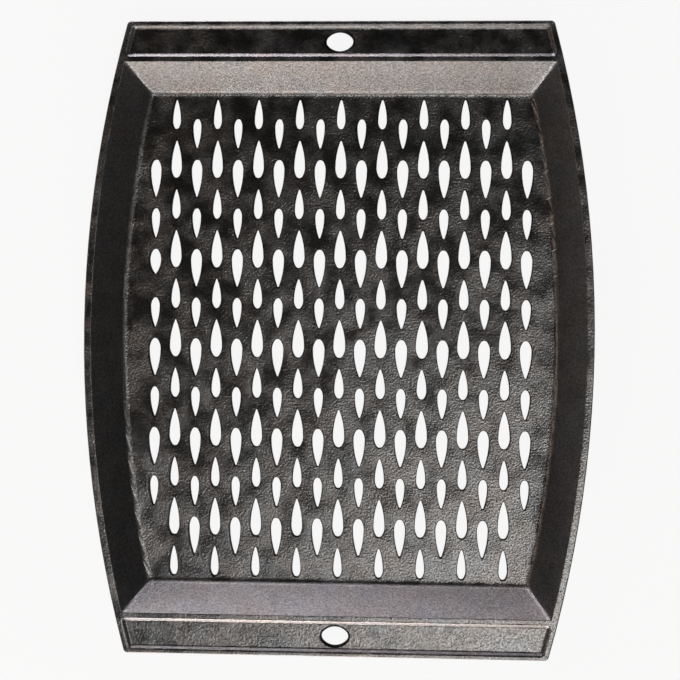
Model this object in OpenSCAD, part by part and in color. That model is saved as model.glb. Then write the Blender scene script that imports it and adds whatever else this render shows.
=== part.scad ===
// Grill topper: one iron casting, a shallow tray with a floor of drop-shaped holes, arched long sides
// and a flat handle at each end. Millimetres, +Z up, +Y along its length, standing on z = 0.

/* [Casting] */
// Length over both handles
length = 381; // [350:0.5:440]
// Width across the middle
width = 306.5; // [280:0.5:340]
// Height from the underside of the floor to the rim
height = 28.5; // [22:0.5:36]
// Radius of each arched long side, seen from above
side_radius = 716; // [520:1:1400]
// Radius of the four outer corners, seen from above
corner_radius = 3; // [2:0.5:5]
// Radius of the rounded edges of the rim, the handles and the mouth of the tray
edge_radius = 0.8; // [0.4:0.1:1.2]

/* [Tray] */
// Thickness of the floor
floor_t = 4.5; // [3:0.1:6]
// Width of the flat rim along the long sides
rim_w = 4.3; // [3:0.1:7]
// Height of the upright edge under the rim
rim_edge = 1; // [0.5:0.1:2]
// Lean of all four walls, in degrees from upright
wall_lean = 33; // [20:0.5:40]
// Radius of the curve between the floor and the walls, inside
foot_radius = 5; // [2:0.5:7]

/* [Drop-shaped holes] */
// Length of a large drop
large_len = 23.1; // [18:0.1:25]
// Width of a large drop in the middle of the floor
large_w = 7.4; // [5:0.1:9]
// Length of a small drop
small_len = 18.2; // [14:0.1:22]
// Width of a small drop in the middle of the floor
small_w = 6; // [4:0.1:8]
// How much slimmer the drops are at either end of the floor than in its middle
end_slimming = 0.8; // [0:0.1:1.5]
// Where a drop is widest, as a share of its length from the round end
widest_at = 0.28; // [0.25:0.01:0.4]
// Radius of the round end, as a share of the width
nose_share = 0.33; // [0.2:0.01:0.4]
// Radius of the pointed end
tip_radius = 0.6; // [0.3:0.1:1]
// Distance from one column of drops to the next
column_pitch = 12.7; // [11:0.1:16]
// Distance from one row of drops to the next
row_pitch = 27.6; // [26:0.1:34]
// How far each row that points to -Y lies below the row that points to +Y
row_shift = 11.8; // [10:0.1:16]
// Least flat iron between a hole and the foot of a wall
hole_margin = 0.4; // [0.2:0.1:3]
// Column of the one drop that came out short
short_column = -9; // [-9:2:9]
// Row of the short drop
short_row = 2; // [-3:1:4]
// Length of the short drop
short_len = 15.6; // [13:0.1:18]

/* [Handles] */
// Depth of a handle, from the end of the casting to the mouth of the tray
handle_l = 24.4; // [20:0.1:34]
// Thickness of a handle
handle_t = 6; // [4:0.1:9]
// Width of the ridge between the recess and the mouth of the tray
ridge_w = 3.1; // [2:0.1:5]
// Width of the border between the recess and the end of the casting
end_border = 2.6; // [2:0.1:5]
// Width of the border between the recess and the side of the casting
side_border = 3.5; // [2:0.1:8]
// Depth of the recess
recess_depth = 1.8; // [0.5:0.1:2.5]
// Width of the sloped edge around the recess
recess_bevel = 1.9; // [0.5:0.1:2.5]
// Radius of the corners of the recess, at its floor
recess_radius = 0.6; // [0.3:0.1:2]
// Width of the hanging hole
hang_w = 16; // [12:0.5:30]
// Height of the hanging hole, across the handle
hang_h = 11.5; // [9:0.5:12]
// Radius of the two ends of the hanging hole
hang_radius = 4; // [2:0.1:4.4]

/* [Hidden] */
half_l = length / 2;
half_w = width / 2;
axis_x = side_radius - half_w;
under = height - handle_t;
depth = height - floor_t;
lean_run = tan(wall_lean);
// How far each edge of a curve or a rounding lies from the sharp corner, for a radius of 1
corner_run = tan((90 - wall_lean) / 2);
wall_w = rim_w + rim_edge * lean_run;
mouth_y = half_l - handle_l;
mouth_radius = side_radius - rim_w;
foot_run = depth * lean_run + foot_radius * corner_run;
flat_y = mouth_y - foot_run;
flat_radius = mouth_radius - foot_run;
columns = floor(half_w / column_pitch);
rows = ceil(half_l / row_pitch);
// How far a cut reaches past what it cuts
over = 1;
// How far an arc stands proud of the lines and arcs that run into it, so that it crosses them cleanly
proud = 0.005;

// How far out a long side of radius r lies at a distance y along it
function side_x(r, y) = sqrt(r * r - y * y) - axis_x;

// A length to the nearest thousandth of a millimetre
function thousandth(v) = round(1000 * v) / 1000;

// Radius of an arc that stands upright at a half width w and touches a circle of radius r, centred at y.
// It is a round value, as w is, so that the arcs of both ends of a drop start from the same point
function cheek_radius(w, y, r) = thousandth((w * w + y * y - r * r) / (2 * (w - r)));

// One end of a drop, from its widest line to its tip: two arcs that run into a round end
module lobe(w, len, r) {
    y = len - r;
    touch = r - proud;
    cheek = cheek_radius(w, y, touch);
    intersection() {
        translate([w - cheek, 0]) circle(r = cheek, $fn = 96);
        translate([cheek - w, 0]) circle(r = cheek, $fn = 96);
        translate([-w - over, 0]) square([2 * (w + over), y * cheek / (cheek - touch)]);
    }
    translate([0, y]) circle(r = r, $fn = 32);
}

// A drop that points to +Y, centred on its full length, of which the mould may have filled some of the tip
module drop(len, w, filled = 0) {
    nose_len = widest_at * len;
    translate([0, nose_len - len / 2]) {
        lobe(w / 2, len - nose_len - filled, tip_radius);
        mirror([0, 1]) lobe(w / 2, nose_len, nose_share * w);
    }
}

// Whether a hole of this size, centred on x and y, lies within the flat of the floor
function fits(x, y, len, w) =
    let (out_x = abs(x) + w / 2 + hole_margin, out_y = abs(y) + len / 2 + hole_margin)
    out_y <= flat_y && out_x <= side_x(flat_radius, out_y);

// All the drops: columns that point to +Y take turns with columns that point to -Y, and large rows with
// small. They grow slimmer towards both ends of the floor
module drops() {
    for (column = [-columns : columns], row = [-rows : rows]) {
        points_up = column % 2 == 0;
        large = row % 2 == 0;
        len = large ? large_len : small_len;
        full_w = large ? large_w : small_w;
        x = column * column_pitch;
        y = row * row_pitch - (points_up ? 0 : row_shift);
        filled = column == short_column && row == short_row ? len - short_len : 0;
        w = 2 * thousandth((full_w - end_slimming * abs(y) / flat_y) / 2);
        if (fits(x, y, len, full_w)) translate([x, y]) rotate(points_up ? 0 : 180) drop(len, w, filled);
    }
}

// What two half sections keep between them: the first turns about the far axis of each long side, and the
// second runs straight across from end to end
module swept() {
    intersection() {
        rotate([90, 0, 90]) linear_extrude(2 * width, center = true) {
            children(1);
            mirror([1, 0]) children(1);
        }
        translate([-axis_x, 0, 0]) rotate_extrude($fn = 360) children(0);
        translate([axis_x, 0, 0]) rotate_extrude($fn = 360) children(0);
    }
}

// What the curve at the foot of a wall takes off a section that has a sharp corner there
module foot_curve(foot, base, r) {
    far = r + over;
    translate([foot - r * corner_run, base + r]) difference() {
        polygon([[0, 0], [0, -far], [far, -far], [far * cos(wall_lean), -far * sin(wall_lean)]]);
        circle(r = r + proud, $fn = 48);
    }
}

// Half the section of the tray's outside: a level bottom and a leaning wall that comes out to reach at
// the rim
module tray_section(reach) {
    foot = reach - height * lean_run;
    difference() {
        polygon([[0, 0], [foot, 0], [reach, height], [0, height]]);
        foot_curve(foot, 0, foot_radius + floor_t);
    }
}

// Half the section of the space in the tray, with the rounded edge at its mouth
module inside_section(reach) {
    foot = reach - depth * lean_run;
    centre = [reach + edge_radius * corner_run, height - edge_radius];
    touch = centre + edge_radius * [-cos(wall_lean), sin(wall_lean)];
    top = height + over;
    difference() {
        polygon([[0, floor_t], [foot, floor_t], touch, centre, [centre.x, top], [0, top]]);
        foot_curve(foot, floor_t, foot_radius);
        translate(centre) circle(r = edge_radius + proud, $fn = 48);
    }
}

// What a rounded edge takes off a section, up and out from the centre of its arc
module edge() {
    difference() {
        square([edge_radius + over, height + 2 * over]);
        circle(r = edge_radius + proud, $fn = 48);
    }
}

// Half the section of all that the outline holds, with the rounded edges over and under the handles
module outline_section(reach) {
    difference() {
        translate([0, -over]) square([reach, height + 2 * over]);
        translate([reach - edge_radius, height - edge_radius]) edge();
        translate([reach - edge_radius, under + edge_radius]) mirror([0, 1]) edge();
    }
}

// What the corner at +X and +Y takes off the outline: all that lies outside a post with the same rounded
// edges. The post stands more proud than an arc does, because the sides that it meets are curved too
module corner() {
    y = half_l - corner_radius;
    x = side_x(side_radius - corner_radius, y);
    turn = asin(y / (side_radius - corner_radius));
    far = 3 * corner_radius;
    translate([x, y, 0]) difference() {
        translate([0, 0, under - over]) linear_extrude(handle_t + 1.5 * over)
            polygon([[0, 0], [far, far * tan(turn)], [far, far], [0, far]]);
        rotate_extrude($fn = 96) outline_section(corner_radius + 4 * proud);
    }
}

// All that the outline holds
module blank() {
    difference() {
        swept() {
            outline_section(side_radius);
            outline_section(half_l);
        }
        for (mx = [0, 1], my = [0, 1]) mirror([mx, 0, 0]) mirror([0, my, 0]) corner();
    }
}

// The outside of the tray, as a solid block
module tray() {
    swept() {
        tray_section(side_radius + rim_edge * lean_run);
        tray_section(mouth_y + wall_w);
    }
}

// The space inside the tray
module inside() {
    swept() {
        inside_section(mouth_radius);
        inside_section(mouth_y);
    }
}

// The flat plate of the +Y handle, which thins down to the rim along the sides of the tray
module handle() {
    thin_t = rim_edge / 2;
    ramp_y = mouth_y - (handle_t - thin_t);
    rotate([90, 0, 90]) linear_extrude(2 * width, center = true) polygon([
        [ramp_y, height],
        [ramp_y, height - thin_t],
        [mouth_y, under],
        [half_l + over, under],
        [half_l + over, height]
    ]);
}

// The recess in the top of the +Y handle: a shallow pocket with sloped edges, its sides along the casting's
module recess() {
    rise = recess_depth + over;
    spread = recess_bevel * rise / recess_depth;
    top_radius = recess_radius + recess_bevel;
    hull() for (side = [-1, 1], y = [mouth_y + ridge_w + top_radius, half_l - end_border - top_radius])
        translate([side * (side_x(side_radius, y) - side_border - top_radius), y, height - recess_depth])
            cylinder(r1 = recess_radius, r2 = recess_radius + spread, h = rise, $fn = 32);
}

// The oval hole through the middle of the recess
module hanging_hole() {
    y = (mouth_y + ridge_w + half_l - end_border) / 2;
    translate([0, y, under - over]) linear_extrude(handle_t + 2 * over) {
        rotate(90) lobe(hang_h / 2, hang_w / 2, hang_radius);
        rotate(-90) lobe(hang_h / 2, hang_w / 2, hang_radius);
    }
}

// The whole casting
module grill_topper() {
    color([0.17, 0.165, 0.165]) difference() {
        intersection() {
            union() {
                tray();
                handle();
                rotate(180) handle();
            }
            blank();
        }
        inside();
        translate([0, 0, -over]) linear_extrude(floor_t + 2 * over) drops();
        for (turn = [0, 180]) rotate(turn) {
            recess();
            hanging_hole();
        }
    }
}

grill_topper();
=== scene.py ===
import math
import bpy
import bmesh
from mathutils import Matrix, Vector


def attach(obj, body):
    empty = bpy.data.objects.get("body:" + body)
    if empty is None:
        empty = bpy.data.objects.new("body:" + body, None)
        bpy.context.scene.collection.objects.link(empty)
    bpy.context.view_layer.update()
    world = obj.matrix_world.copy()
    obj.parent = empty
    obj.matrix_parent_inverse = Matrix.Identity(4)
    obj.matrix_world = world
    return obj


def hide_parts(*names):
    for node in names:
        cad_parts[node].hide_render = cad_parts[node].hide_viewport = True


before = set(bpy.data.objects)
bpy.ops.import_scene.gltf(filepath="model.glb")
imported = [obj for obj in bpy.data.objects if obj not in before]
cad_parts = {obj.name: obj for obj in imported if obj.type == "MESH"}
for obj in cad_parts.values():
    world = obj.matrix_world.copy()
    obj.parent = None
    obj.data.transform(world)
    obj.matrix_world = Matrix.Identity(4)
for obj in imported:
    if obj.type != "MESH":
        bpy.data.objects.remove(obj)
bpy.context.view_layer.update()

# Camera
# It looks straight down on the casting from arm's length above, a little to the right of its middle
# and turned by a degree or so.
camera_data = bpy.data.cameras.new("camera")
camera_data.sensor_width = 36.0
camera_data.lens = 79.41
camera_data.clip_end = 10.0
camera = bpy.data.objects.new("camera", camera_data)
bpy.context.scene.collection.objects.link(camera)
camera_place = Vector((0.0478, 0.01316, 0.92505))
tilt_x, tilt_y, tilt_z = math.radians(0.85), math.radians(-2.94), math.radians(-0.53)
tilt_across = Matrix.Rotation(tilt_y, 3, "Y") @ Matrix.Rotation(tilt_x, 3, "X")
to_camera = Matrix.Rotation(tilt_z, 3, "Z") @ tilt_across
camera.matrix_world = Matrix.Translation(camera_place) @ to_camera.transposed().to_4x4()
bpy.context.scene.camera = camera

# The casting
# One piece of grey iron, poured in a sand mould and baked with oil until it is nearly black. The sand leaves
# every edge a little round, and tumbling with shot has worn the edges of the holes and recesses further.
# Its level faces lie at these heights, and points nearer to each other than a micrometre count as one.
near = 1e-6
floor_top, handle_under, recess_floor, rim_top = 0.0045, 0.0225, 0.0267, 0.0285


def level_faces(bm, level, up):
    """The level faces at one height that look up (1) or down (-1)."""
    facing = [f for f in bm.faces if f.normal.z * up > 0.9999]
    return {f for f in facing if all(abs(v.co.z - level) < near for v in f.verts)}


def outlines(flat):
    """The closed outlines around some faces, each a list of edges."""
    left = {e for f in flat for e in f.edges if any(other not in flat for other in e.link_faces)}
    found = []
    while left:
        outline = [left.pop()]
        for edge in outline:
            for vert in edge.verts:
                joined = left.intersection(vert.link_edges)
                left -= joined
                outline.extend(joined)
        found.append(outline)
    return found


def round_off(bm, level, up, radius, steps):
    """Rounds the sharp outlines of the flats at one height, then fills the flats again."""
    flat = level_faces(bm, level, up)
    facing = Vector((0, 0, up))
    nearly_level = 0.9
    tangent, sharp, corners = [], [], {}
    for outline in outlines(flat):
        beyond = {e: next(f for f in e.link_faces if f not in flat).normal for e in outline}
        if any(normal.z * up > nearly_level for normal in beyond.values()):
            tangent += outline
            continue
        sharp += outline
        side = -1 if outline[0].is_convex else 1
        for vert in {v for e in outline for v in e.verts}:
            normal = sum((beyond[e] for e in vert.link_edges if e in beyond), Vector()).normalized()
            run = side * radius * math.tan(facing.angle(normal) / 2)
            out = run * (normal - normal.dot(facing) * facing).normalized()
            down = run * (facing - facing.dot(normal) * normal).normalized()
            corners[vert] = (vert.co.copy(), down, out)
    bmesh.ops.delete(bm, geom=list(flat), context="FACES")
    for vert, (corner, down, out) in corners.items():
        vert.co = corner + down
    for step in range(1, steps + 1):
        share = step / steps
        made = bmesh.ops.extrude_edge_only(bm, edges=sharp)["geom"]
        new = {v for v in made if isinstance(v, bmesh.types.BMVert)}
        sharp = [e for e in made if isinstance(e, bmesh.types.BMEdge) and all(v in new for v in e.verts)]
        source = {v: next(e.other_vert(v) for e in v.link_edges if e.other_vert(v) in corners) for v in new}
        corners = {v: corners[source[v]] for v in new}
        for vert, (corner, down, out) in corners.items():
            vert.co = corner + (1 - share) ** 2 * down + share ** 2 * out
    bmesh.ops.triangle_fill(bm, edges=sharp + tangent, use_beauty=False, use_dissolve=False, normal=facing)


def fillet_mitre(bm, low, high, reach):
    """Rounds the valley between an end wall and a side wall, which climbs from a low point to a high one."""
    up = Vector((0, 0, 1))
    across = (high - low).cross(up).normalized()
    taper, lift, level, upright = 0.0015, 0.32 * reach, 0.98, 0.1
    # The walls are cut beside the valley, in four strips, and level near its two ends.
    cuts = [(low + step * reach * across, across) for step in (-1, -0.5, 0.5, 1)]
    cuts += [(low + taper * up, up), (high - taper * up, up)]
    for point, facing in cuts:
        walls = [f for f in bm.faces if upright < abs(f.normal.z) < level]
        walls = [f for f in walls if all(low.z - near < v.co.z < high.z + near for v in f.verts)]
        walls = [f for f in walls if any(v.co.x * low.x > 0 and v.co.y * low.y > 0 for v in f.verts)]
        parts = {part for f in walls for part in [f, *f.edges, *f.verts]}
        bmesh.ops.bisect_plane(bm, geom=list(parts), dist=near, plane_co=point, plane_no=facing)
    # The strips rise towards the valley's middle, and not at all at its ends.
    for vert in bm.verts:
        aside = abs((vert.co - low).dot(across)) / reach
        along = (vert.co - low).dot(high - low) / (high - low).length_squared
        if aside < 0.9 and 0 < along < 1 and low.z + near < vert.co.z < high.z - near:
            full = min(1, (vert.co.z - low.z) / taper, (high.z - vert.co.z) / taper)
            vert.co.z += lift * full * (1 - aside) ** 2


bm = bmesh.new()
bm.from_mesh(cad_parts["grill_topper"].data)
bmesh.ops.remove_doubles(bm, verts=bm.verts, dist=near)
# The drops' upper edges, the underside, the foot of the recesses' bevel, the rim, the handles' lower edges
round_off(bm, floor_top, 1, 0.0005, 2)
round_off(bm, 0.0, -1, 0.0004, 1)
round_off(bm, recess_floor, 1, 0.0013, 3)
round_off(bm, rim_top, 1, 0.002, 3)
round_off(bm, handle_under, -1, 0.0006, 2)
mitre_low, mitre_high = (0.114894, 0.148023, floor_top), (0.129567, 0.166444, rim_top)
mitre_reach = 0.0022
for side, end in ((1, 1), (1, -1), (-1, 1), (-1, -1)):
    mirror = Matrix.Diagonal((side, end, 1))
    fillet_mitre(bm, mirror @ Vector(mitre_low), mirror @ Vector(mitre_high), mitre_reach)
bmesh.ops.recalc_face_normals(bm, faces=bm.faces)
crease = math.radians(35)
for edge in bm.edges:
    edge.smooth = edge.calc_face_angle(0.0) < crease
# The insides of the drops and of the two hanging holes are marked, so that the material paints shade into
# them.
in_hole = bm.faces.layers.float.new("in_hole")
hanging_hole_x, handle_edge_y = 0.009, 0.187
for face in bm.faces:
    face.smooth = True
    middle = face.calc_center_median()
    in_drop = middle.z < floor_top - near and face.normal.z > -0.01
    in_handle = handle_under < middle.z < recess_floor and abs(middle.y) < handle_edge_y
    face[in_hole] = in_drop or (in_handle and abs(middle.x) < hanging_hole_x)
casting_mesh = bpy.data.meshes.new("casting")
bm.to_mesh(casting_mesh)
bm.free()
casting = bpy.data.objects.new("casting", casting_mesh)
bpy.context.scene.collection.objects.link(casting)
even = casting.modifiers.new("even_shading", "WEIGHTED_NORMAL")
even.keep_sharp = True
even.weight = 80

# The seasoning is a thin black coat of baked oil. It shines most on the flats, where it lies in clouds, and
# less on the walls. The sand's grain stands through it everywhere.
iron = bpy.data.materials.new("seasoned_iron")
iron.use_nodes = True
nodes, links = iron.node_tree.nodes, iron.node_tree.links
shader = nodes["Principled BSDF"]
shader.inputs["Metallic"].default_value = 0.0
shader.inputs["IOR"].default_value = 2.3
place = nodes.new("ShaderNodeTexCoord")


def noise(scale, detail, distortion=0.0):
    """A cloud pattern over the casting, with this many clouds to the metre."""
    node = nodes.new("ShaderNodeTexNoise")
    node.inputs["Scale"].default_value = scale
    node.inputs["Detail"].default_value = detail
    node.inputs["Distortion"].default_value = distortion
    links.new(place.outputs["Object"], node.inputs["Vector"])
    return node.outputs["Fac"]


def spread(value, low, high, to_low, to_high):
    """A value between two limits, spread over two others."""
    node = nodes.new("ShaderNodeMapRange")
    for name, number in (("From Min", low), ("From Max", high), ("To Min", to_low), ("To Max", to_high)):
        node.inputs[name].default_value = number
    links.new(value, node.inputs["Value"])
    return node.outputs["Result"]


def work_out(operation, first, second):
    """Two values joined by an operation; the second may be a plain number."""
    node = nodes.new("ShaderNodeMath")
    node.operation = operation
    links.new(first, node.inputs[0])
    if isinstance(second, (int, float)):
        node.inputs[1].default_value = second
    else:
        links.new(second, node.inputs[1])
    return node.outputs["Value"]


grain = noise(880.0, 1.2, 0.3)
clouds = noise(75.0, 3.0)
hues = noise(45.0, 2.0)

# Warmer and cooler patches: a little brown here, a little blue there
tones = nodes.new("ShaderNodeValToRGB")
ramp = tones.color_ramp
ramp.elements[0].position, ramp.elements[0].color = 0.38, (1.0, 0.955, 0.93, 1)
ramp.elements[1].position, ramp.elements[1].color = 0.62, (0.965, 0.985, 1.0, 1)
ramp.elements.new(0.5).color = (1.0, 0.99, 0.97, 1)
links.new(hues, tones.inputs["Fac"])
links.new(tones.outputs["Color"], shader.inputs["Specular Tint"])

# Where a wall leans, the clouds are fainter.
facing = nodes.new("ShaderNodeSeparateXYZ")
links.new(place.outputs["Normal"], facing.inputs["Vector"])
sloped = spread(facing.outputs["Z"], 0.97, 0.75, 0.0, 1.0)
cloudy = spread(sloped, 0.0, 1.0, 1.0, 0.2)

# Pits and the clouds' middles are darker, and the insides of the holes get painted shade.
hole = nodes.new("ShaderNodeAttribute")
hole.attribute_name = "in_hole"
pits = spread(grain, 0.3, 0.7, 0.6, 1.4)
# Painted shade: the insides of the holes are made darker and less shiny.
painted_hole_shade = spread(hole.outputs["Fac"], 0.0, 1.0, 1.0, 0.15)
patches = work_out("ADD", work_out("MULTIPLY", spread(clouds, 0.35, 0.65, -0.35, 0.35), cloudy), 1.0)
shade = work_out("MULTIPLY", work_out("MULTIPLY", pits, painted_hole_shade), patches)
black = nodes.new("ShaderNodeVectorMath")
black.operation = "SCALE"
links.new(tones.outputs["Color"], black.inputs["Vector"])
links.new(work_out("MULTIPLY", shade, 0.014), black.inputs["Scale"])
links.new(black.outputs["Vector"], shader.inputs["Base Color"])
links.new(work_out("MULTIPLY", shade, 0.5), shader.inputs["Specular IOR Level"])

# The flats are smoother than the walls.
blotches = work_out("MULTIPLY", spread(clouds, 0.35, 0.65, -0.05, 0.05), cloudy)
links.new(work_out("ADD", spread(sloped, 0.0, 1.0, 0.29, 0.5), blotches), shader.inputs["Roughness"])

# The sand's grain, a quarter of a millimetre deep
bump = nodes.new("ShaderNodeBump")
bump.inputs["Distance"].default_value = 0.00026
coarse = spread(sloped, 0.0, 1.0, 0.78, 0.55)
links.new(work_out("ADD", work_out("MULTIPLY", blotches, 5.0), coarse), bump.inputs["Strength"])
links.new(grain, bump.inputs["Height"])
links.new(bump.outputs["Normal"], shader.inputs["Normal"])
casting_mesh.materials.append(iron)
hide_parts("grill_topper")
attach(casting, "root")

# The table
# A plain white board under the casting. The camera sees most of its white as the board's own glow, and the
# rest keeps the casting's shadow.
board_mesh = bpy.data.meshes.new("board")
bm = bmesh.new()
bmesh.ops.create_grid(bm, x_segments=1, y_segments=1, size=3.0)
bm.to_mesh(board_mesh)
bm.free()
board = bpy.data.objects.new("board", board_mesh)
bpy.context.scene.collection.objects.link(board)
white = bpy.data.materials.new("white_board")
white.use_nodes = True
nodes, links = white.node_tree.nodes, white.node_tree.links
paint = nodes["Principled BSDF"]
paint.inputs["Base Color"].default_value = (0.8, 0.8, 0.8, 1)
paint.inputs["Roughness"].default_value = 0.9
glow = nodes.new("ShaderNodeEmission")
glow.inputs["Color"].default_value = (1, 1, 1, 1)
seen = nodes.new("ShaderNodeLightPath")
share = nodes.new("ShaderNodeMath")
share.operation = "MULTIPLY"
share.inputs[1].default_value = 0.9
links.new(seen.outputs["Is Camera Ray"], share.inputs[0])
blend = nodes.new("ShaderNodeMixShader")
links.new(share.outputs[0], blend.inputs["Fac"])
links.new(paint.outputs["BSDF"], blend.inputs[1])
links.new(glow.outputs["Emission"], blend.inputs[2])
links.new(blend.outputs["Shader"], nodes["Material Output"].inputs["Surface"])
board_mesh.materials.append(white)

# Lamps
# Soft lamps, all equally far from the casting. One lies low beyond each end, warm at the near end and cooler
# at the far one. Two hang high over the near right. Weak ones light the feet of the walls and the mitres.
lamp_distance = 1.6


def lamp(name, azimuth, elevation, width, height, colour, light):
    """A soft lamp aimed at the casting; azimuth 0 is beyond its near end, 90 beyond its right side."""
    data = bpy.data.lights.new(name, "AREA")
    data.shape = "RECTANGLE"
    data.size, data.size_y = width, height
    data.color = colour
    data.energy = light * (math.pi * lamp_distance) ** 2
    obj = bpy.data.objects.new(name, data)
    bpy.context.scene.collection.objects.link(obj)
    turn, rise = math.radians(azimuth), math.radians(elevation)
    aim = Vector((math.sin(turn) * math.cos(rise), -math.cos(turn) * math.cos(rise), math.sin(rise)))
    obj.location = lamp_distance * aim
    obj.rotation_euler = (-aim).to_track_quat("-Z", "Y").to_euler()


lamp("near_lamp", 352, 8, 0.9, 0.35, (1.0, 0.9, 0.85), 1.2)
lamp("far_lamp", 192, 7, 0.9, 0.3, (1.0, 0.93, 0.99), 0.86)
lamp("high_lamp", 12, 66, 0.8, 0.4, (1.0, 0.97, 0.95), 0.165)
lamp("corner_lamp", 48, 68, 0.6, 0.4, (1.0, 0.95, 0.91), 0.1)
lamp("left_lamp", 270, 50, 0.7, 0.3, (1.0, 0.76, 0.6), 0.07)
lamp("mitre_lamp", 225, 20, 0.5, 0.3, (1.0, 0.97, 0.95), 0.05)
lamp("right_lamp", 90, 50, 0.7, 0.3, (1.0, 0.97, 0.95), 0.03)
world = bpy.data.worlds.new("room")
bpy.context.scene.world = world
world.use_nodes = True
world.node_tree.nodes["Background"].inputs["Color"].default_value = (1, 1, 1, 1)
world.node_tree.nodes["Background"].inputs["Strength"].default_value = 0.008

view = bpy.context.scene.view_settings
view.view_transform = "Standard"
